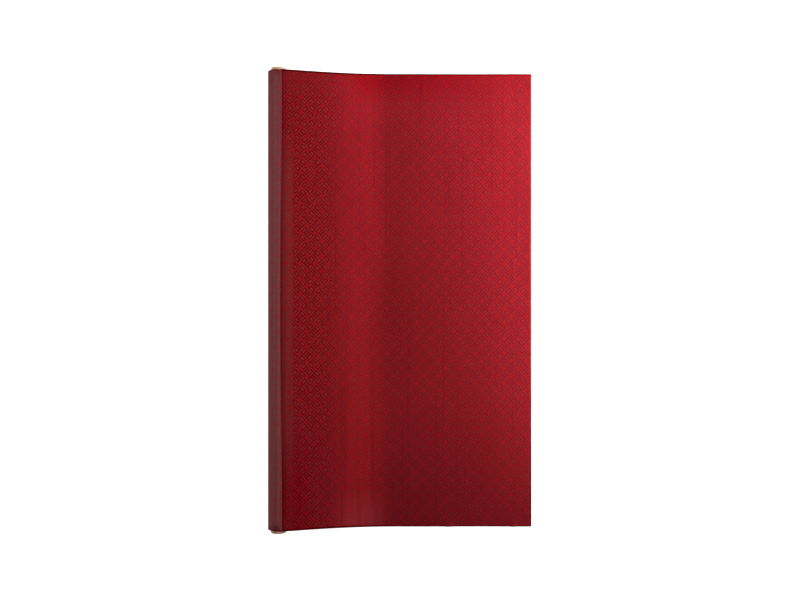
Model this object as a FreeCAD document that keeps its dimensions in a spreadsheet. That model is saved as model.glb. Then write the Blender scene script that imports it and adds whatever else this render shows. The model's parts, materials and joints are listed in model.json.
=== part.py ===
import FreeCAD, Part
import math
import os

import Sketcher

# A length of furnishing cloth wound on a kraft tube. The cloth leaves the top of the roll, slopes
# down to the table and lies flat up to its free end.
#
# Row frame: +X from the roll to the free edge, +Y along the roll's axis, +Z up from the table.
# The origin is under the middle of the whole object, on the table.
# Sketches are drawn in each piece's own frame, whose origin is on the roll's axis, half way along it.

# Driving dimensions, in millimetres and degrees.
SIZES = {
    "cloth_width": 1400.0,
    "cloth_thickness": 0.5,
    "roll_radius": 31.8,
    "bore_radius": 19.05,
    "ply_thickness": 0.79,
    "core_overhang": 9.5,
    "tape_thickness": 0.2,
    "tape_width": 50.0,
    "tape_arc": 90.0,
    "tape_spacing": 600.0,
    "departure_angle": 17.6,
    "running_gap": 0.3,
    "lap_gap": 0.3,
    "foot_reach": 307.5,
    "near_reach": 520.0,
    "free_start": 310.0,
    "free_reach": 778.5,
}
CORE_PLIES = ("core_inner_liner", "core_ply_2", "core_ply_3", "core_ply_4", "core_outer_wrap")
TAPE_COUNT = 3

# Sizes that follow from the driving ones, as expressions in the sheet's aliases.
AXIS_X = "-(Sizes.free_reach - Sizes.roll_radius) / 2"
AXIS_Z = "Sizes.roll_radius"
CORE_RADIUS = f"Sizes.bore_radius + {len(CORE_PLIES)} * Sizes.ply_thickness"
CORE_LENGTH = "Sizes.cloth_width + 2 * Sizes.core_overhang"
TAPE_RADIUS = f"{CORE_RADIUS} + Sizes.tape_thickness"
INNER_TURNS_RADIUS = "Sizes.roll_radius - Sizes.cloth_thickness"
SHEET_DEPTH = "Sizes.roll_radius - Sizes.cloth_thickness - Sizes.lap_gap"

ORIGIN = FreeCAD.Vector(0, 0, 0)
START_POINT = 1
END_POINT = 2
CENTRE_POINT = 3
SKETCH_ORIGIN = (-1, 1)

doc = FreeCAD.newDocument("ClothRoll")
subparts = []


def make_sheet():
    """The spreadsheet of driving dimensions, one named cell each."""
    sheet = doc.addObject("Spreadsheet::Sheet", "Sizes")
    for row, (alias, value) in enumerate(SIZES.items(), start=1):
        sheet.set(f"A{row}", alias)
        sheet.set(f"B{row}", str(value))
        sheet.setAlias(f"B{row}", alias)
    doc.recompute()


def put_on_axis(piece):
    """Places a piece whose own origin is on the roll's axis."""
    piece.setExpression("Placement.Base.x", AXIS_X)
    piece.setExpression("Placement.Base.z", AXIS_Z)


def new_body(label):
    body = doc.addObject("PartDesign::Body", label)
    body.Label = label
    subparts.append(body)
    return body


def cross_section(body):
    """A sketch on the body's own XZ plane, which cuts the roll square to its axis."""
    plane = next(f for f in body.Origin.OriginFeatures if f.Role == "XZ_Plane")
    sketch = body.newObject("Sketcher::SketchObject", body.Name + "_section")
    sketch.AttachmentSupport = [(plane, "")]
    sketch.MapMode = "FlatFace"
    return sketch


def drive(sketch, name, expression, kind, *geometry):
    """Adds a dimension to the sketch and binds it to an expression."""
    index = sketch.addConstraint(Sketcher.Constraint(kind, *geometry))
    sketch.renameConstraint(index, name)
    sketch.setExpression(f"Constraints.{name}", expression)


def pad_along_axis(body, sketch, length):
    """Extends the section to both sides of the roll's middle."""
    pad = body.newObject("PartDesign::Pad", body.Name + "_pad")
    pad.Profile = sketch
    pad.SideType = "Symmetric"
    pad.setExpression("Length", length)
    put_on_axis(body)


def make_ring(label, inner, outer, length):
    """A tube about the roll's axis."""
    body = new_body(label)
    sketch = cross_section(body)
    for name, expression in (("inner", inner), ("outer", outer)):
        circle = Part.Circle(ORIGIN, FreeCAD.Vector(0, 0, 1), SIZES["roll_radius"])
        edge = sketch.addGeometry(circle)
        sketch.addConstraint(Sketcher.Constraint("Coincident", edge, CENTRE_POINT, *SKETCH_ORIGIN))
        drive(sketch, f"{name}_radius", expression, "Radius", edge, SIZES["roll_radius"])
    pad_along_axis(body, sketch, length)


def make_core():
    """The spirally wound tube: a liner, three wall plies and an outer wrap, bonded together."""
    for index, label in enumerate(CORE_PLIES):
        inner = f"Sizes.bore_radius + {index} * Sizes.ply_thickness"
        outer = f"Sizes.bore_radius + {index + 1} * Sizes.ply_thickness"
        make_ring(label, inner, outer, CORE_LENGTH)


def make_tape(label, offset):
    """A strip of double-sided tape round part of the tube, under the cloth's first turn."""
    cylinders = []
    for name, radius in (("outside", TAPE_RADIUS), ("inside", CORE_RADIUS)):
        cylinder = doc.addObject("Part::Cylinder", f"{label}_{name}")
        cylinder.setExpression("Radius", radius)
        cylinder.setExpression("Height", "Sizes.tape_width")
        cylinders.append(cylinder)
    cylinders[0].setExpression("Angle", "Sizes.tape_arc")
    tape = doc.addObject("Part::Cut", label)
    tape.Label = label
    tape.Base, tape.Tool = cylinders
    tape.Placement = FreeCAD.Placement(ORIGIN, FreeCAD.Rotation(FreeCAD.Vector(1, 0, 0), -90))
    put_on_axis(tape)
    tape.setExpression("Placement.Base.y", f"{offset} * Sizes.tape_spacing - Sizes.tape_width / 2")
    subparts.append(tape)


def make_wound_cloth():
    """The turns on the tube, and the outermost turn as a piece of its own."""
    make_ring("fabric_inner_turns", TAPE_RADIUS, INNER_TURNS_RADIUS, "Sizes.cloth_width")
    make_ring("fabric_outer_turn", INNER_TURNS_RADIUS, "Sizes.roll_radius", "Sizes.cloth_width")


def span_outline():
    """Start values for the span's section: underside, foot bend, foot, top of the bend, top, start.

    The underside is tangent to a circle just outside the roll, and the bend to the level sheet.
    """
    slope = math.radians(SIZES["departure_angle"])
    reach = SIZES["roll_radius"] + SIZES["running_gap"]
    thick = SIZES["cloth_thickness"]
    level = thick + SIZES["lap_gap"] - SIZES["roll_radius"]
    outward = FreeCAD.Vector(math.sin(slope), math.cos(slope), 0)
    meet_x = outward.x * reach + (outward.y * reach - level) / math.tan(slope)
    radius = (SIZES["foot_reach"] - meet_x) / math.tan(slope / 2)
    centre = FreeCAD.Vector(SIZES["foot_reach"], level + radius, 0)
    foot = FreeCAD.Vector(SIZES["foot_reach"], level, 0)
    up = FreeCAD.Vector(0, 1, 0)
    start_angle = 1.5 * math.pi - slope
    bends = [
        Part.ArcOfCircle(Part.Circle(centre, FreeCAD.Vector(0, 0, 1), size), start_angle, 1.5 * math.pi)
        for size in (radius, radius - thick)
    ]
    return [
        Part.LineSegment(outward * reach, bends[0].StartPoint),
        bends[0],
        Part.LineSegment(foot, foot + up * thick),
        bends[1],
        Part.LineSegment(bends[1].StartPoint, outward * (reach + thick)),
        Part.LineSegment(outward * (reach + thick), outward * reach),
    ]


def make_span():
    """The cloth between the top of the roll and the table: a straight slope, then one wide bend."""
    body = new_body("fabric_sloping_span")
    sketch = cross_section(body)
    under, bend, foot, top_bend, top, start = sketch.addGeometry(span_outline())
    rules = [
        ("Tangent", under, END_POINT, bend, START_POINT),
        ("Coincident", bend, END_POINT, foot, START_POINT),
        ("Coincident", foot, END_POINT, top_bend, END_POINT),
        ("Tangent", top_bend, START_POINT, top, START_POINT),
        ("Coincident", top, END_POINT, start, START_POINT),
        ("Coincident", start, END_POINT, under, START_POINT),
        ("Coincident", bend, CENTRE_POINT, top_bend, CENTRE_POINT),
        ("Vertical", bend, CENTRE_POINT, bend, END_POINT),
        ("Vertical", foot),
        ("Perpendicular", start, under),
        ("Parallel", top, under),
        ("PointOnObject", *SKETCH_ORIGIN, start),
    ]
    for rule in rules:
        sketch.addConstraint(Sketcher.Constraint(*rule))
    thick = SIZES["cloth_thickness"]
    reach = SIZES["roll_radius"] + SIZES["running_gap"]
    depth = SIZES["roll_radius"] - thick - SIZES["lap_gap"]
    slope = math.radians(SIZES["departure_angle"])
    drive(sketch, "thickness", "Sizes.cloth_thickness", "Distance", foot, thick)
    drive(sketch, "from_axis", "Sizes.roll_radius + Sizes.running_gap",
          "Distance", *SKETCH_ORIGIN, under, reach)
    drive(sketch, "depth", SHEET_DEPTH, "DistanceY", bend, END_POINT, *SKETCH_ORIGIN, depth)
    drive(sketch, "foot_reach", "Sizes.foot_reach",
          "DistanceX", *SKETCH_ORIGIN, bend, END_POINT, SIZES["foot_reach"])
    drive(sketch, "slope", "Sizes.departure_angle", "Angle", start, END_POINT, -2, START_POINT, slope)
    pad_along_axis(body, sketch, "Sizes.cloth_width")
    return sketch


def make_near_flat():
    """The level cloth that follows the span and laps over the free end."""
    body = new_body("fabric_near_flat")
    sketch = cross_section(body)
    left = SIZES["foot_reach"]
    right = SIZES["near_reach"]
    low = SIZES["cloth_thickness"] + SIZES["lap_gap"] - SIZES["roll_radius"]
    high = low + SIZES["cloth_thickness"]
    corners = [FreeCAD.Vector(x, y, 0) for x, y in ((left, low), (right, low), (right, high), (left, high))]
    edges = sketch.addGeometry(
        [Part.LineSegment(a, b) for a, b in zip(corners, corners[1:] + corners[:1])]
    )
    for edge, following in zip(edges, edges[1:] + edges[:1]):
        sketch.addConstraint(Sketcher.Constraint("Coincident", edge, END_POINT, following, START_POINT))
    for direction, edge in zip(("Horizontal", "Vertical", "Horizontal", "Vertical"), edges):
        sketch.addConstraint(Sketcher.Constraint(direction, edge))
    bottom, side = edges[:2]
    drive(sketch, "start", "Sizes.foot_reach", "DistanceX", *SKETCH_ORIGIN, bottom, START_POINT, left)
    drive(sketch, "reach", "Sizes.near_reach", "DistanceX", *SKETCH_ORIGIN, bottom, END_POINT, right)
    drive(sketch, "depth", SHEET_DEPTH, "DistanceY", bottom, START_POINT, *SKETCH_ORIGIN, -low)
    drive(sketch, "thickness", "Sizes.cloth_thickness", "Distance", side, high - low)
    pad_along_axis(body, sketch, "Sizes.cloth_width")
    return sketch


def make_free_end():
    """The far cloth, flat on the table. It slides out from under the near part."""
    free_end = doc.addObject("Part::Box", "fabric_free_end")
    free_end.Label = "fabric_free_end"
    free_end.setExpression("Length", "Sizes.free_reach - Sizes.free_start")
    free_end.setExpression("Width", "Sizes.cloth_width")
    free_end.setExpression("Height", "Sizes.cloth_thickness")
    free_end.setExpression("Placement.Base.x", f"{AXIS_X} + Sizes.free_start")
    free_end.setExpression("Placement.Base.y", "-Sizes.cloth_width / 2")
    subparts.append(free_end)


def check_document(sketches):
    """Stops on a failed feature, a loose sketch, or a sub-part that isn't one valid solid."""
    for item in doc.Objects:
        if {"Invalid", "Error"} & set(item.State):
            raise RuntimeError(f"{item.Label} failed: {item.State}")
    for sketch in sketches:
        if not sketch.FullyConstrained:
            raise RuntimeError(f"{sketch.Label} isn't fully constrained")
    for piece in subparts:
        if piece.Shape.isNull() or not piece.Shape.isValid() or len(piece.Shape.Solids) != 1:
            raise RuntimeError(f"{piece.Label} isn't one valid solid")


def write_parts():
    os.makedirs("parts", exist_ok=True)
    for piece in subparts:
        piece.Shape.exportStep(f"parts/{piece.Label}.step")
        bounds = piece.Shape.BoundBox
        print(f"{piece.Label:22s} {piece.Shape.Volume:12.1f} mm3  X {bounds.XMin:8.2f} {bounds.XMax:8.2f}"
              f"  Y {bounds.YMin:8.2f} {bounds.YMax:8.2f}  Z {bounds.ZMin:6.2f} {bounds.ZMax:6.2f}")


make_sheet()
make_core()
for number in range(TAPE_COUNT):
    make_tape(f"starter_tape_{number + 1}", number - (TAPE_COUNT - 1) // 2)
make_wound_cloth()
free_sketches = [make_span(), make_near_flat()]
make_free_end()
doc.recompute()
check_document(free_sketches)
write_parts()
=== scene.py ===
import json
import math
from collections import namedtuple

import bpy
import numpy as np
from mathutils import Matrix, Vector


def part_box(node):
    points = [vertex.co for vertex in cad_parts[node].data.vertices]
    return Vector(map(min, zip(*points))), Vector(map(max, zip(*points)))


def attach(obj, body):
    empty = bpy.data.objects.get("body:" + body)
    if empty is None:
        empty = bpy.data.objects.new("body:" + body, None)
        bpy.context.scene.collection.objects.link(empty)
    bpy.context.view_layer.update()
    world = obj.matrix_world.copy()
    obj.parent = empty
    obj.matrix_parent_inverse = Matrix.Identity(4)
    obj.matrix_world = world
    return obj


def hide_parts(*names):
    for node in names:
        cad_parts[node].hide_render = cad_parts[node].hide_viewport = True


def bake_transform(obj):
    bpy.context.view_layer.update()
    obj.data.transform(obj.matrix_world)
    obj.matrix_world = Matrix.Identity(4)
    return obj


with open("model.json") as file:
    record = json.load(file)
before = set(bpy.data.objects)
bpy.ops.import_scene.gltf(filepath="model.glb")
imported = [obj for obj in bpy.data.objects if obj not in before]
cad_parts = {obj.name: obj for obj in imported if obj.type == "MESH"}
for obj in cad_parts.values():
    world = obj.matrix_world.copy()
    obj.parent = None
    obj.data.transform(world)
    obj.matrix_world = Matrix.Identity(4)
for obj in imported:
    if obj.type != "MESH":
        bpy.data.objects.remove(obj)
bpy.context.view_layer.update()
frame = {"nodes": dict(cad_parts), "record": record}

# A roll of red jacquard cloth on a kraft tube, its free end drawn out over the top of the roll.
# +X runs from the roll to the free edge, +Y along the roll and +Z up. Sizes are in metres.

# ---------------------------------------------------------------- sizes

CORE_BORE = next(m for m in frame["record"]["mounts"] if m["name"] == "core_bore")
AXIS_X, AXIS_Z = CORE_BORE["pos_m"][0], CORE_BORE["pos_m"][2]
BORE_RADIUS = CORE_BORE["dims"]["r_mm"] / 1000
CORE_LENGTH = CORE_BORE["dims"]["length_mm"] / 1000
ROLL_RADIUS = AXIS_Z
FREE_LOW, FREE_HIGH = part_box("fabric_free_end")
CLOTH_WIDTH = FREE_HIGH.y - FREE_LOW.y
FREE_EDGE_X = FREE_HIGH.x
THICKNESS = FREE_HIGH.z - FREE_LOW.z

CORE_PLIES = ("core_inner_liner", "core_ply_2", "core_ply_3", "core_ply_4", "core_outer_wrap")
PLY_TONES = (0.95, 0.85, 0.92, 0.82, 1.05)
PLY_SHORT_BY = (0.0, 0.0004, 0.0001, 0.0005, 0.0002)
CORE_RADIUS = 0.0230
PLY = (CORE_RADIUS - BORE_RADIUS) / len(CORE_PLIES)
BOND_GAP = 0.00002
BUTT_GAP = 0.0005

FIRST_TURN_RADIUS = CORE_RADIUS + 0.0002
TURN_PITCH = 0.00052
WOUND_THICKNESS = 0.00044
OUTER_TURNS = 1.15
END_INSET = 0.0015
END_WANDER = 0.0012

DEPARTURE = math.radians(17.6)
RUNNING_GAP = 0.0001
FOOT_CLEARANCE = 0.0003
FOOT_AT = 0.306
PATH_STEP = 0.0005
BEND_STEPS = 20

# Length from the roll in metres and the sheet's fall in degrees.
TILTS = (
    (0.000, 17.4), (0.060, 17.3), (0.203, 11.0), (0.250, 8.0), (0.330, 1.2), (0.360, 0.0), (0.900, 0.0),
)

REPEAT_ALONG = 0.04512
REPEAT_ACROSS = 0.04605
FIGURE_START = (0.00857, 0.0030)
GRAIN_SKEW = 0.0047
SELVEDGE = 0.007
WARP_SPACING = 0.0008
WEFT_SPACING = 0.0010

rng = np.random.default_rng(7)


# ---------------------------------------------------------------- meshes

def mesh_object(name, points, faces, smooth=True):
    mesh = bpy.data.meshes.new(name)
    mesh.from_pydata([tuple(p) for p in points], [], [tuple(int(i) for i in f) for f in faces])
    mesh.validate()
    mesh.update()
    mesh.polygons.foreach_set("use_smooth", [smooth] * len(mesh.polygons))
    piece = bpy.data.objects.new(name, mesh)
    bpy.context.scene.collection.objects.link(piece)
    return piece


def grid_faces(rows, columns, offset=0, flip=False):
    """Quads of a grid whose points run row by row."""
    first = (np.arange(rows - 1)[:, None] * columns + np.arange(columns - 1)[None, :]).ravel() + offset
    quads = np.stack([first, first + columns, first + columns + 1, first + 1], axis=1)
    return quads[:, ::-1] if flip else quads


def rim_faces(rows, columns, under):
    """Quads that close the edge between a grid and the same grid further on in the point list."""
    left = [r * columns for r in range(rows)]
    right = [r * columns + columns - 1 for r in range(rows)]
    first = list(range(columns))
    last = [(rows - 1) * columns + c for c in range(columns)]
    loop = first + right[1:] + last[::-1][1:] + left[::-1][1:-1]
    return np.array([[a, b, b + under, a + under] for a, b in zip(loop, loop[1:] + loop[:1])])


def cloth_sheet(name, middle, normal, thickness, along, across, from_roll):
    """A closed sheet about a grid of points, with its flat coordinates kept as attributes."""
    rows, columns = middle.shape[:2]
    top = (middle + normal * thickness / 2).reshape(-1, 3)
    under = (middle - normal * thickness / 2).reshape(-1, 3)
    count = len(top)
    faces = np.concatenate([
        grid_faces(rows, columns),
        grid_faces(rows, columns, count, flip=True),
        rim_faces(rows, columns, count),
    ])
    piece = mesh_object(name, np.concatenate([top, under]), faces)
    surfaces = 2 * (rows - 1) * (columns - 1)
    for polygon in piece.data.polygons[surfaces:]:
        polygon.use_smooth = False
    for label, values in (("cloth_along", along), ("cloth_across", across), ("from_roll", from_roll)):
        attribute = piece.data.attributes.new(label, "FLOAT", "POINT")
        attribute.data.foreach_set("value", np.tile(values.ravel(), 2).astype(np.float32))
    return piece


# ---------------------------------------------------------------- the cloth drawn out

def sheet_path():
    """Length from the roll, X, Z and tilt along the sheet's middle line: slope, foot bend, level part."""
    start_radius = ROLL_RADIUS + RUNNING_GAP + THICKNESS / 2
    start_x = AXIS_X + start_radius * math.sin(DEPARTURE)
    start_z = AXIS_Z + start_radius * math.cos(DEPARTURE)
    s = np.arange(0, TILTS[-1][0], PATH_STEP)
    tilt = np.radians(np.interp(s, *zip(*TILTS)))
    window = 2 * BEND_STEPS + 1
    tilt = np.convolve(np.pad(tilt, BEND_STEPS, mode="edge"), np.ones(window) / window, mode="valid")
    fall = np.sum(np.sin(tilt)) * PATH_STEP
    tilt = tilt * (start_z - THICKNESS / 2 - FOOT_CLEARANCE) / fall
    x = start_x + np.concatenate([[0], np.cumsum(np.cos(tilt[:-1])) * PATH_STEP])
    z = start_z - np.concatenate([[0], np.cumsum(np.sin(tilt[:-1])) * PATH_STEP])
    return s, x, z, tilt


PATH = sheet_path()


def on_path(s):
    """Middle line and unit normal, in X and Z, at lengths s from the roll."""
    known, x, z, tilt = PATH
    here = np.interp(s, known, tilt)
    return np.interp(s, known, x), np.interp(s, known, z), np.sin(here), np.cos(here)


def path_length():
    """Length of the sheet from the roll to its free edge."""
    known, x = PATH[:2]
    return float(np.interp(FREE_EDGE_X, x, known))


def bump(values, centre, width):
    return np.exp(-((values - centre) / width) ** 2)


def foot_ripple(s):
    height, beyond_foot, width = 0.0002, 0.075, 0.042
    return height * bump(s, FOOT_AT + beyond_foot, width)


def slow_wave(s, y):
    height = 0.00012
    wave_s, wave_y = rng.uniform(0.25, 0.5), rng.uniform(0.5, 1.2)
    phase = rng.uniform(0, 2 * math.pi)
    return height * (1 + np.sin(2 * math.pi * (s / wave_s + y / wave_y) + phase))


def drag_line(s, y):
    """A low ridge along the roll that fades out towards the selvedges."""
    fade = 0.02
    centre_s, centre_y = rng.uniform(0.05, path_length() - 0.02), rng.uniform(-0.66, 0.66)
    width, length = rng.uniform(0.003, 0.006), rng.uniform(0.03, 0.10)
    height = rng.uniform(0.00010, 0.00030)
    inside = np.clip((CLOTH_WIDTH / 2 - np.abs(y)) / fade, 0, 1)
    return height * inside * bump(s, centre_s, width) * bump(y, centre_y, length)


def edge_pucker(s, y, beyond_foot):
    height, width, reach = 0.0022, 0.009, 0.010
    from_edge = y + CLOTH_WIDTH / 2
    return height * bump(s, FOOT_AT + beyond_foot, width) * np.exp(-from_edge / reach)


def sheet_relief(s, y):
    """How far the cloth stands off its plain path, fading to nothing where it leaves the roll."""
    slow_waves, drag_lines, fade = 5, 26, 0.03
    relief = foot_ripple(s)
    for _ in range(slow_waves):
        relief = relief + slow_wave(s, y)
    for _ in range(drag_lines):
        relief = relief + drag_line(s, y)
    for beyond_foot in (0.215, 0.415):
        relief = relief + edge_pucker(s, y, beyond_foot)
    return relief * np.clip(s / fade, 0, 1)


def make_drawn_cloth():
    """One sheet from the top of the roll to the free edge, meshed finer at its start and selvedges."""
    length = path_length()
    half = CLOTH_WIDTH / 2
    start, start_rows, rows = 0.012, 9, 300
    margin, margin_columns, columns = 0.03, 13, 260
    s = np.concatenate([np.linspace(0, start, start_rows)[:-1], np.linspace(start, length, rows)])
    edge = np.linspace(0, margin, margin_columns)[:-1]
    inner = np.linspace(-half + margin, half - margin, columns)
    y = np.concatenate([-half + edge, inner, half - edge[::-1]])
    grid_s, grid_y = np.meshgrid(s, y, indexing="ij")
    x, z, normal_x, normal_z = on_path(grid_s)
    lift = sheet_relief(grid_s, grid_y)
    middle = np.stack([x + normal_x * lift, grid_y, z + normal_z * lift], axis=2)
    normal = np.stack([normal_x, np.zeros_like(x), normal_z], axis=2)
    along_less_x = grid_s - x - GRAIN_SKEW * grid_y
    piece = cloth_sheet("cloth_drawn_out", middle, normal, THICKNESS, along_less_x, grid_y, grid_s)
    return piece, length


# ---------------------------------------------------------------- the wound cloth

def wound_turns():
    return (ROLL_RADIUS - WOUND_THICKNESS / 2 - FIRST_TURN_RADIUS - WOUND_THICKNESS / 2) / TURN_PITCH


def make_wound_cloth(name, first, last, per_turn, columns):
    """Part of the spiral, from turn number first to last, counted outwards; the last meets the slope."""
    turns = np.linspace(first, last, int((last - first) * per_turn) + 1)
    total = wound_turns()
    radius = FIRST_TURN_RADIUS + WOUND_THICKNESS / 2 + turns * TURN_PITCH
    angle = DEPARTURE - (total - turns) * 2 * math.pi
    length = (turns - total) * math.pi * (radius + radius[-1])
    wander = END_WANDER * np.sin(turns * 5.1) * np.sin(turns * 1.7 + 1)
    share = np.linspace(-1, 1, columns)
    grid_angle = np.repeat(angle[:, None], columns, axis=1)
    grid_radius = np.repeat(radius[:, None], columns, axis=1)
    grid_y = share[None, :] * (CLOTH_WIDTH / 2 - END_INSET + wander[:, None])
    normal = np.stack([np.sin(grid_angle), np.zeros_like(grid_angle), np.cos(grid_angle)], axis=2)
    axis = np.stack([np.full_like(grid_y, AXIS_X), grid_y, np.full_like(grid_y, AXIS_Z)], axis=2)
    middle = normal * grid_radius[..., None] + axis
    along = length[:, None] - GRAIN_SKEW * grid_y
    piece = cloth_sheet(name, middle, normal, WOUND_THICKNESS, along, grid_y, np.zeros_like(along))
    return piece, float(length[-1] - length[0])


# ---------------------------------------------------------------- the core

def ply_rows(index, half, steps_per_turn):
    """Step number and the strip's two Y limits, for each step of its helix inside the tube."""
    first_pitch, pitch_growth = 0.092, 0.004
    first_lead, lead_growth = 1.2, 0.17
    least_width = 0.0001
    pitch = first_pitch + pitch_growth * index
    start = -half - pitch * (first_lead + lead_growth * index)
    rows = []
    for step in range((math.ceil(2 * half / pitch) + 3) * steps_per_turn + 1):
        low = start + pitch * step / steps_per_turn
        high = low + pitch - BUTT_GAP
        if high > -half + least_width and low < half - least_width:
            rows.append((step, max(low, -half), min(high, half)))
    return rows


def make_ply(name, index):
    """A strip of board wound as a helix with a fine butt gap, cut square at the tube's ends."""
    steps_per_turn = 72
    inner = BORE_RADIUS + index * PLY + BOND_GAP
    outer = BORE_RADIUS + (index + 1) * PLY - BOND_GAP
    rows = ply_rows(index, CORE_LENGTH / 2 - PLY_SHORT_BY[index], steps_per_turn)
    points = []
    for step, low, high in rows:
        angle = 2 * math.pi * step / steps_per_turn
        for radius, y in ((inner, low), (outer, low), (outer, high), (inner, high)):
            points.append((AXIS_X + radius * math.sin(angle), y, AXIS_Z + radius * math.cos(angle)))
    faces = []
    for row in range(len(rows) - 1):
        a, b = 4 * row, 4 * row + 4
        for corner in range(4):
            following = (corner + 1) % 4
            faces.append((a + corner, a + following, b + following, b + corner))
    last = 4 * (len(rows) - 1)
    faces += [(3, 2, 1, 0), (last, last + 1, last + 2, last + 3)]
    return mesh_object(name + "_strip", points, faces, smooth=False)


# ---------------------------------------------------------------- materials

class Shader:
    """A material's node tree, with short calls for the nodes used here."""

    def __init__(self, name):
        self.material = bpy.data.materials.new(name)
        self.material.use_nodes = True
        self.tree = self.material.node_tree
        self.tree.nodes.clear()
        self.bsdf = self.tree.nodes.new("ShaderNodeBsdfPrincipled")
        output = self.tree.nodes.new("ShaderNodeOutputMaterial")
        self.tree.links.new(self.bsdf.outputs["BSDF"], output.inputs["Surface"])

    def feed(self, socket, value):
        if isinstance(value, bpy.types.NodeSocket):
            self.tree.links.new(value, socket)
        else:
            socket.default_value = value

    def math(self, operation, a, b=0.0, c=0.0):
        node = self.tree.nodes.new("ShaderNodeMath")
        node.operation = operation
        for socket, value in zip(node.inputs, (a, b, c)):
            self.feed(socket, value)
        return node.outputs[0]

    def step(self, value, low, high, start=0.0, end=1.0):
        """A smooth step from start to end as value goes from low to high."""
        node = self.tree.nodes.new("ShaderNodeMapRange")
        node.interpolation_type = "SMOOTHSTEP"
        for name, number in (("Value", value), ("From Min", low), ("From Max", high),
                             ("To Min", start), ("To Max", end)):
            self.feed(node.inputs[name], number)
        return node.outputs["Result"]

    def band(self, value, rise, fall):
        """1 between rise and fall, each a pair of limits with a smooth step between them."""
        return self.product(self.step(value, *rise), self.step(value, *fall, 1.0, 0.0))

    def product(self, first, *others):
        for factor in others:
            first = self.math("MULTIPLY", first, factor)
        return first

    def mix(self, factor, a, b):
        node = self.tree.nodes.new("ShaderNodeMix")
        self.feed(node.inputs[0], factor)
        self.feed(node.inputs[2], a)
        self.feed(node.inputs[3], b)
        return node.outputs[0]

    def blend(self, factor, a, b, mode="MIX"):
        node = self.tree.nodes.new("ShaderNodeMix")
        node.data_type = "RGBA"
        node.blend_type = mode
        self.feed(node.inputs[0], factor)
        self.feed(node.inputs[6], a)
        self.feed(node.inputs[7], b)
        return node.outputs[2]

    def attribute(self, name):
        node = self.tree.nodes.new("ShaderNodeAttribute")
        node.attribute_name = name
        return node.outputs["Fac"]

    def position(self):
        """X, Y and Z of the surface in the piece's own space."""
        coordinates = self.tree.nodes.new("ShaderNodeTexCoord")
        split = self.tree.nodes.new("ShaderNodeSeparateXYZ")
        self.tree.links.new(coordinates.outputs["Object"], split.inputs[0])
        return split.outputs

    def vector(self, x, y, z=0.0):
        node = self.tree.nodes.new("ShaderNodeCombineXYZ")
        for socket, value in zip(node.inputs, (x, y, z)):
            self.feed(socket, value)
        return node.outputs[0]

    def noise(self, vector, scale, detail=2.0):
        node = self.tree.nodes.new("ShaderNodeTexNoise")
        self.feed(node.inputs["Vector"], vector)
        self.feed(node.inputs["Scale"], scale)
        self.feed(node.inputs["Detail"], detail)
        return node.outputs["Fac"]

    def bump(self, height, distance, strength=1.0):
        node = self.tree.nodes.new("ShaderNodeBump")
        self.feed(node.inputs["Strength"], strength)
        self.feed(node.inputs["Distance"], distance)
        self.feed(node.inputs["Height"], height)
        self.tree.links.new(node.outputs["Normal"], self.bsdf.inputs["Normal"])

    def set(self, **values):
        for name, value in values.items():
            self.feed(self.bsdf.inputs[name.replace("_", " ")], value)


# Edges of the woven figure as shares of a lattice cell, counted from its middle lines.
# Each pair is one soft edge.
BAR_EDGE = (0.235, 0.265)
SQUARE_EDGE = (0.25, 0.33)
RIB_SPACING = 0.23
LAST_RIB = (0.30, 0.345)
CORNER_SHORT, CORNER_LONG = (0.17, 0.22), (0.27, 0.31)
GROUND_RISE, GROUND_FALL = (0.27, 0.31), (0.40, 0.44)

# Red, green, blue and alpha of the dark ground, the light ground and the solid squares.
FACE_TONES = ((0.252, 0.0102, 0.0148, 1), (0.326, 0.0184, 0.0258, 1), (0.372, 0.0122, 0.0188, 1))
# Greyer tones on the roll: partly a duller finish, partly a painted pale sheen.
WOUND_SHEEN_TONES = ((0.124, 0.027, 0.029, 1), (0.138, 0.032, 0.034, 1), (0.165, 0.024, 0.027, 1))
# Darker ground on the slope near the roll: painted shade.
SLOPE_SHADE_TONES = ((0.150, 0.0024, 0.0050, 1), (0.342, 0.0195, 0.0250, 1), (0.365, 0.0080, 0.0130, 1))
# Greyer tones beside the roll: painted pale sheen.
VEIL_SHEEN_TONES = ((0.262, 0.0260, 0.0300, 1), (0.325, 0.0330, 0.0370, 1), (0.385, 0.0200, 0.0250, 1))
# Brighter tones at the foot of the slope: painted highlight.
FOOT_HIGHLIGHT_TONES = ((0.380, 0.0130, 0.0190, 1), (0.470, 0.0210, 0.0290, 1), (0.525, 0.0130, 0.0210, 1))
# Paler tones at the lower end of the foot: painted sheen.
FOOT_SHEEN_TONES = ((0.440, 0.0440, 0.0510, 1), (0.500, 0.0500, 0.0570, 1), (0.530, 0.0380, 0.0450, 1))

# Colours laid over the figure.
CLOUD_COLOUR = (0.16, 0.008, 0.011, 1)
# Painted shade in the crease where the sheet leaves the roll.
CREASE_SHADE_COLOUR = (0.05, 0.0010, 0.0015, 1)
LOWER_SELVEDGE, UPPER_SELVEDGE = (0.31, 0.0200, 0.0260, 1), (0.31, 0.0028, 0.0060, 1)
# The dark edge line is partly a dark thread and partly painted shade of the cloth's rim.
DARK_THREAD_AND_RIM_SHADE, THREAD_LIGHT = (0.13, 0.003, 0.004, 1), (0.25, 0.020, 0.024, 1)

# Tints that multiply the colour under them.
DRAG_TINT = (0.80, 0.76, 0.80, 1)
VIVID_TINT = (1.0, 0.48, 0.60, 1)
# Painted shade towards the free edge.
FREE_EDGE_SHADE_TINT = (0.80, 0.90, 0.90, 1)
# Painted light and pale sheen on the roll's left side.
ROLL_LIGHT_TINT = (1.22, 1.70, 1.52, 1)

Weave = namedtuple("Weave", "along across from_roll square light ribs")


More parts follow.
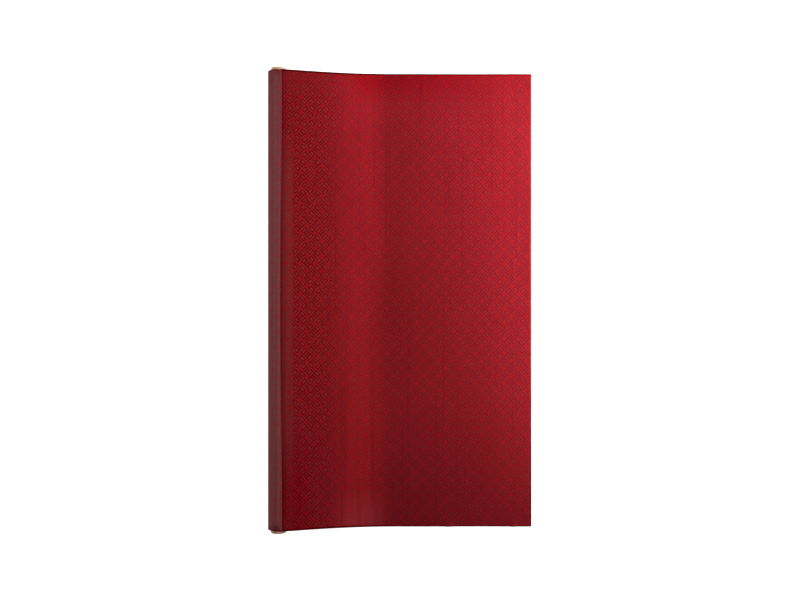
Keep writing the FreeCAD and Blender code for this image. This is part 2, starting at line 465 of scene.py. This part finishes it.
def jacquard(shader, along, across):
    """The woven figure: solid squares on a diagonal lattice, with ribbed bars laid between them.

    Returns three shares from 0 to 1: solid square, lightness of the ground, and rib height.
    """
    m = shader.math
    u = m("DIVIDE", m("ADD", along, FIGURE_START[0]), REPEAT_ALONG)
    v = m("DIVIDE", m("ADD", across, FIGURE_START[1]), REPEAT_ACROSS)
    rising = m("ADD", u, v)
    falling = m("SUBTRACT", u, v)
    from_a = m("ABSOLUTE", m("SUBTRACT", m("FRACT", rising), 0.5))
    from_b = m("ABSOLUTE", m("SUBTRACT", m("FRACT", falling), 0.5))
    cell = m("ADD", m("FLOOR", rising), m("FLOOR", falling))
    parity = m("MULTIPLY", m("FRACT", m("MULTIPLY", cell, 0.5)), 2.0)
    odd = m("LESS_THAN", parity, 0.5)
    short = shader.mix(odd, from_a, from_b)
    long = shader.mix(odd, from_b, from_a)
    bar = shader.step(short, *BAR_EDGE, 1.0, 0.0)
    square = m("MULTIPLY", shader.step(short, *SQUARE_EDGE), shader.step(long, *SQUARE_EDGE))
    ribs = m("MULTIPLY_ADD", m("COSINE", m("MULTIPLY", long, 2 * math.pi / RIB_SPACING)), -0.5, 0.5)
    ribs = m("MAXIMUM", ribs, shader.step(long, *LAST_RIB))
    corner = m("MULTIPLY", shader.step(short, *CORNER_SHORT), shader.step(long, *CORNER_LONG))
    inside = m("MULTIPLY", ribs, m("SUBTRACT", 1.0, corner))
    light = shader.mix(bar, shader.band(short, GROUND_RISE, GROUND_FALL), inside)
    return square, light, ribs


def woven(shader, weave, tones):
    """The figure in three tones."""
    ground = shader.blend(weave.light, tones[0], tones[1])
    return shader.blend(weave.square, ground, tones[2])


def painted_slope_shade(shader, weave, colour):
    """Painted shade: deeper ground on the slope near the roll, uneven, and weaker at the top edge."""
    spots = shader.noise(shader.vector(weave.along, weave.across), 38.0)
    share = shader.product(
        shader.step(weave.from_roll, 0.09, 0.22, 1.0, 0.0),
        shader.step(spots, 0.35, 0.62, 0.55, 1.0),
        shader.step(weave.across, 0.58, 0.68, 1.0, 0.4),
    )
    return shader.blend(share, colour, woven(shader, weave, SLOPE_SHADE_TONES))


def painted_veil_sheen(shader, weave, colour):
    """Painted pale sheen: a hazy strip beside the roll, fading towards both ends."""
    share = shader.product(
        shader.step(weave.from_roll, 0.030, 0.044, 0.85, 0.0),
        shader.step(weave.across, 0.36, 0.55, 1.0, 0.0),
        shader.step(weave.across, -0.62, -0.38, 0.35, 1.0),
    )
    return shader.blend(share, colour, woven(shader, weave, VEIL_SHEEN_TONES))


def painted_foot_highlight(shader, weave, colour):
    """Painted highlight: a bright streak where the slope meets the table, turning to a painted pale sheen
    at its lower end.
    """
    foot = shader.band(weave.from_roll, (0.14, 0.25), (0.26, 0.35))
    stretched = shader.vector(shader.math("MULTIPLY", weave.from_roll, 60.0),
                              shader.math("MULTIPLY", weave.across, 1.5))
    threads = shader.noise(stretched, 1.0, 3.0)
    highlight_share = shader.product(
        foot,
        shader.step(threads, 0.30, 0.62, 0.55, 1.0),
        shader.step(weave.across, -0.60, -0.10, 1.0, 0.58),
    )
    sheen_share = shader.product(
        foot,
        shader.step(weave.across, -0.69, -0.56, 0.85, 0.0),
        shader.step(threads, 0.36, 0.58, 0.35, 1.0),
    )
    colour = shader.blend(highlight_share, colour, woven(shader, weave, FOOT_HIGHLIGHT_TONES))
    return shader.blend(sheen_share, colour, woven(shader, weave, FOOT_SHEEN_TONES))


def drag_shading(shader, weave, colour):
    """Faint darker lines along the roll."""
    stretched = shader.vector(shader.math("MULTIPLY", weave.from_roll, 110.0),
                              shader.math("MULTIPLY", weave.across, 1.3))
    share = shader.step(shader.noise(stretched, 1.0), 0.54, 0.72, 0.0, 0.55)
    return shader.blend(share, colour, DRAG_TINT, "MULTIPLY")


def vivid_corners(shader, weave, colour):
    """Deeper red along the top edge beyond the slope, and at the lower end beside the roll."""
    top = shader.product(
        shader.step(weave.across, 0.59, 0.68),
        shader.step(weave.from_roll, 0.19, 0.26),
        shader.step(weave.from_roll, 0.40, 0.80, 1.0, 0.2),
    )
    low = shader.product(
        shader.step(weave.across, -0.58, -0.38, 0.8, 0.0),
        shader.step(weave.from_roll, 0.06, 0.11, 1.0, 0.0),
    )
    return shader.blend(shader.math("MAXIMUM", top, low), colour, VIVID_TINT, "MULTIPLY")


def painted_free_edge_shade(shader, weave, colour):
    # Painted shade: darker over the last part of the sheet towards the free edge, weaker at its lower end.
    share = shader.product(
        shader.step(weave.from_roll, 0.68, 0.78),
        shader.step(weave.across, -0.3, 0.2, 0.4, 1.0),
    )
    return shader.blend(share, colour, FREE_EDGE_SHADE_TINT, "MULTIPLY")


def clouds(shader, weave, colour):
    """Slow unevenness of the dye."""
    cloudy = shader.noise(shader.vector(weave.along, weave.across), 9.0, 3.0)
    return shader.blend(shader.step(cloudy, 0.3, 0.7, 0.0, 0.10), colour, CLOUD_COLOUR)


def selvedges(shader, weave, colour, wound):
    """Plain strips along both long edges, each ending in a dark line that is wider near the roll: partly a
    dark edge thread, partly painted shade of the cloth's rim.
    """
    m = shader.math
    edge = m("SUBTRACT", CLOTH_WIDTH / 2, m("ABSOLUTE", weave.across))
    near_roll = shader.step(weave.from_roll, 0.18, 0.40, 1.0, 0.0)
    plain = shader.step(edge, SELVEDGE - 0.001, SELVEDGE, 1.0, 0.0)
    plain_colour = shader.blend(shader.step(weave.across, -0.1, 0.1), LOWER_SELVEDGE, UPPER_SELVEDGE)
    colour = shader.blend(m("MULTIPLY", plain, m("SUBTRACT", 1.0, near_roll)), colour, plain_colour)
    # Dark line at each edge, partly a thread and partly painted shade of the rim, wider near the roll.
    thread_and_shade_width = shader.mix(near_roll, 0.0036, 0.0060)
    thread_and_rim_shade = shader.step(m("DIVIDE", edge, thread_and_shade_width), 0.7, 1.2, 1.0, 0.0)
    thread_and_shade_colour = DARK_THREAD_AND_RIM_SHADE
    if wound:
        turn_tone = shader.step(shader.noise(shader.vector(weave.along, 0.0), 30.0), 0.36, 0.64)
        thread_and_shade_colour = shader.blend(turn_tone, DARK_THREAD_AND_RIM_SHADE, THREAD_LIGHT)
    return shader.blend(thread_and_rim_shade, colour, thread_and_shade_colour)


def painted_roll_light(shader, weave, colour):
    """Painted light and pale sheen: a lighter band on the outer turn."""
    share = shader.band(weave.along, (-0.044, -0.034), (-0.020, -0.010))
    return shader.blend(share, colour, ROLL_LIGHT_TINT, "MULTIPLY")


def past_crease(shader, weave):
    """Length beyond the crease beside the roll, which lies further out towards the ends."""
    crease_at = shader.step(shader.math("ABSOLUTE", weave.across), 0.05, 0.62, 0.0004, 0.0042)
    return shader.math("SUBTRACT", weave.from_roll, crease_at)


def painted_crease_shade(shader, weave, colour, beyond):
    """Painted shade: a dark crease line where the sheet leaves the roll and a darkening that fades over the
    slope beyond it, with the wound cloth's look before it.
    """
    m = shader.math
    from_crease = m("MAXIMUM", beyond, 0.0)
    sharp_shade = m("MULTIPLY", m("EXPONENT", m("DIVIDE", from_crease, -0.003)), 0.42)
    shade = m("MULTIPLY_ADD", m("EXPONENT", m("DIVIDE", from_crease, -0.014)), 0.56, sharp_shade)
    colour = shader.blend(shade, colour, CREASE_SHADE_COLOUR)
    before = shader.step(beyond, -0.0004, 0.0008, 1.0, 0.0)
    return shader.blend(before, colour, woven(shader, weave, WOUND_SHEEN_TONES))


def raise_threads(shader, weave):
    """Threads, squares and ribs as a fine relief."""
    m = shader.math
    warp = m("SINE", m("MULTIPLY", weave.across, 2 * math.pi / WARP_SPACING))
    weft = m("SINE", m("MULTIPLY", weave.along, 2 * math.pi / WEFT_SPACING))
    threads = shader.product(warp, weft, 0.25)
    figure = m("ADD", m("MULTIPLY", weave.square, 0.5), m("MULTIPLY", weave.ribs, 0.35))
    shader.bump(m("ADD", threads, figure), distance=0.00012, strength=0.35)


def start_cloth(name, drawn):
    """A shader and its weave. On the drawn sheet, cloth_along plus X is the length along the cloth."""
    shader = Shader(name)
    along = shader.attribute("cloth_along")
    if drawn:
        along = shader.math("ADD", along, shader.position()[0])
    across = shader.attribute("cloth_across")
    return shader, Weave(along, across, shader.attribute("from_roll"), *jacquard(shader, along, across))


def drawn_cloth_material():
    """Satin jacquard, face up."""
    shader, weave = start_cloth("jacquard_face", drawn=True)
    colour = woven(shader, weave, FACE_TONES)
    for zone in (painted_slope_shade, painted_veil_sheen, painted_foot_highlight, drag_shading, vivid_corners, painted_free_edge_shade, clouds):
        colour = zone(shader, weave, colour)
    colour = selvedges(shader, weave, colour, wound=False)
    beyond = past_crease(shader, weave)
    colour = painted_crease_shade(shader, weave, colour, beyond)
    raise_threads(shader, weave)
    roughness = shader.mix(weave.square, shader.mix(weave.light, 0.290, 0.300), 0.312)
    shader.set(Base_Color=colour, Roughness=roughness, Specular_IOR_Level=0.15,
               Metallic=shader.step(beyond, 0.0, 0.0025, 0.0, 0.80), Specular_Tint=(0.35, 0.05, 0.06, 1))
    return shader.material


def wound_cloth_material():
    """The same jacquard, duller and browner on the roll; its greyer tones are partly a painted pale sheen.
    """
    shader, weave = start_cloth("jacquard_wound", drawn=False)
    colour = woven(shader, weave, WOUND_SHEEN_TONES)
    colour = clouds(shader, weave, colour)
    colour = selvedges(shader, weave, colour, wound=True)
    colour = painted_roll_light(shader, weave, colour)
    raise_threads(shader, weave)
    shader.set(Base_Color=colour, Roughness=shader.mix(weave.square, 0.72, 0.60), Specular_IOR_Level=0.0)
    return shader.material


def kraft_material(name, tone):
    """Brown paperboard with fibres and darker flecks."""
    shader = Shader(name)
    x, y, z = shader.position()
    stretched = shader.vector(shader.math("MULTIPLY", x, 3.0), y, shader.math("MULTIPLY", z, 3.0))
    fibres = shader.noise(stretched, 350.0, 4.0)
    flecks = shader.step(shader.noise(shader.vector(x, y, z), 1400.0), 0.62, 0.72)
    base = tuple(c * tone for c in (0.72, 0.46, 0.29)) + (1,)
    dark = tuple(c * tone * 0.62 for c in (0.72, 0.45, 0.27)) + (1,)
    colour = shader.blend(fibres, dark, base)
    colour = shader.blend(shader.math("MULTIPLY", flecks, 0.35), colour, (0.20, 0.12, 0.07, 1))
    shader.bump(fibres, distance=0.0002, strength=0.4)
    shader.set(Base_Color=colour, Roughness=0.82)
    return shader.material


def tape_material():
    """Cloudy adhesive film."""
    shader = Shader("adhesive_tape")
    grain = shader.noise(shader.vector(*shader.position()), 220.0)
    shader.set(Base_Color=shader.blend(grain, (0.62, 0.58, 0.46, 1), (0.74, 0.71, 0.60, 1)), Roughness=0.35)
    return shader.material


def paint(piece, material):
    piece.data.materials.clear()
    piece.data.materials.append(material)


# ---------------------------------------------------------------- the object

drawn_material = drawn_cloth_material()
wound_material = wound_cloth_material()

drawn, drawn_length = make_drawn_cloth()
paint(drawn, drawn_material)
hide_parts("fabric_sloping_span", "fabric_near_flat", "fabric_free_end")
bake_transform(drawn)

OUTER_FROM = wound_turns() - OUTER_TURNS
for name, first, last, per_turn, columns, node in (
    ("cloth_inner_turns", 0.0, OUTER_FROM, 60, 6, "fabric_inner_turns"),
    ("cloth_outer_turn", OUTER_FROM, wound_turns(), 120, 60, "fabric_outer_turn"),
):
    wound, wound_length = make_wound_cloth(name, first, last, per_turn, columns)
    paint(wound, wound_material)
    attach(wound, "roll")
    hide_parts(node)

for index, node in enumerate(CORE_PLIES):
    strip = make_ply(node, index)
    paint(strip, kraft_material(node + "_paper", PLY_TONES[index]))
    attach(strip, "roll")
    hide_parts(node)

tape = tape_material()
for number in (1, 2, 3):
    paint(frame["nodes"][f"starter_tape_{number}"], tape)


# ---------------------------------------------------------------- studio

FLOOR_REACH = 9.0
FLOOR_Z = -0.0003
LIGHT_WIDTH, LIGHT_DEPTH = 0.8, 0.45
LIGHT_UNIT = math.pi / 0.33
CAMERA_PLACE = (-0.0017, 0.0009, 2.714)
CAMERA_LENS = 39.47
SENSOR_WIDTH = 36.0

# Place of each light and its power in LIGHT_UNITs.
LIGHTS = (
    ("side_top", (1.0, 1.0, 0.7), 1.7),
    ("side_upper", (1.0, 0.5, 0.7), 1.5),
    ("side_middle", (1.0, 0.0, 0.7), 2.3),
    ("side_lower", (1.0, -0.5, 1.2), 0.18),
    ("near_middle", (0.75, 0.3, 0.5), 0.16),
    ("fill", (-0.5, -1.0, 0.7), 0.13),
    ("left", (-1.8, 0.6, 0.45), 1.6),
    ("over_left", (-0.5, -0.5, 2.0), 0.08),
    ("high_left", (-1.0, 1.2, 3.2), 0.70),
    ("high_top", (0.5, 1.5, 3.2), 0.35),
    ("high_upper", (0.35, 0.5, 3.2), 0.14),
    ("high_lower", (0.5, -0.5, 3.2), 0.10),
    ("high_bottom", (1.0, -1.5, 3.2), 0.09),
)


def make_floor():
    """A plain pale floor that gives off light."""
    corners = ((-1, -1), (1, -1), (1, 1), (-1, 1))
    points = [(x * FLOOR_REACH, y * FLOOR_REACH, FLOOR_Z) for x, y in corners]
    floor = mesh_object("floor", points, [(0, 1, 2, 3)])
    shader = Shader("floor")
    shader.set(Base_Color=(0.85, 0.85, 0.85, 1), Roughness=0.9,
               Emission_Color=(1, 1, 1, 1), Emission_Strength=0.95)
    paint(floor, shader.material)


def make_world():
    """Pale round the horizon and dim overhead."""
    world = bpy.data.worlds.new("studio")
    world.use_nodes = True
    bpy.context.scene.world = world
    tree = world.node_tree
    tree.nodes.clear()
    coordinates = tree.nodes.new("ShaderNodeTexCoord")
    split = tree.nodes.new("ShaderNodeSeparateXYZ")
    ramp = tree.nodes.new("ShaderNodeMapRange")
    background = tree.nodes.new("ShaderNodeBackground")
    output = tree.nodes.new("ShaderNodeOutputWorld")
    for limit, number in (("From Min", 0.05), ("From Max", 0.30), ("To Min", 0.85), ("To Max", 0.02)):
        ramp.inputs[limit].default_value = number
    tree.links.new(coordinates.outputs["Generated"], split.inputs[0])
    tree.links.new(split.outputs[2], ramp.inputs["Value"])
    tree.links.new(ramp.outputs["Result"], background.inputs["Strength"])
    tree.links.new(background.outputs[0], output.inputs["Surface"])


def add_light(name, place, power):
    """A soft rectangular light that faces the origin and is hidden from the camera."""
    light = bpy.data.lights.new(name, "AREA")
    light.shape = "RECTANGLE"
    light.size, light.size_y = LIGHT_WIDTH, LIGHT_DEPTH
    light.energy = power * LIGHT_UNIT
    lamp = bpy.data.objects.new(name, light)
    bpy.context.scene.collection.objects.link(lamp)
    lamp.location = place
    x, y, z = place
    lamp.rotation_euler = (math.atan2(math.hypot(x, y), z), 0, math.atan2(y, x) + math.pi / 2)
    lamp.visible_camera = False


def make_camera():
    """Straight above the work."""
    camera = bpy.data.objects.new("camera", bpy.data.cameras.new("camera"))
    camera.data.sensor_width = SENSOR_WIDTH
    camera.data.lens = CAMERA_LENS
    camera.location = CAMERA_PLACE
    bpy.context.scene.collection.objects.link(camera)
    bpy.context.scene.camera = camera


bpy.context.scene.view_settings.view_transform = "Standard"
make_floor()
make_world()
for name, place, power in LIGHTS:
    add_light(name, place, power)
make_camera()
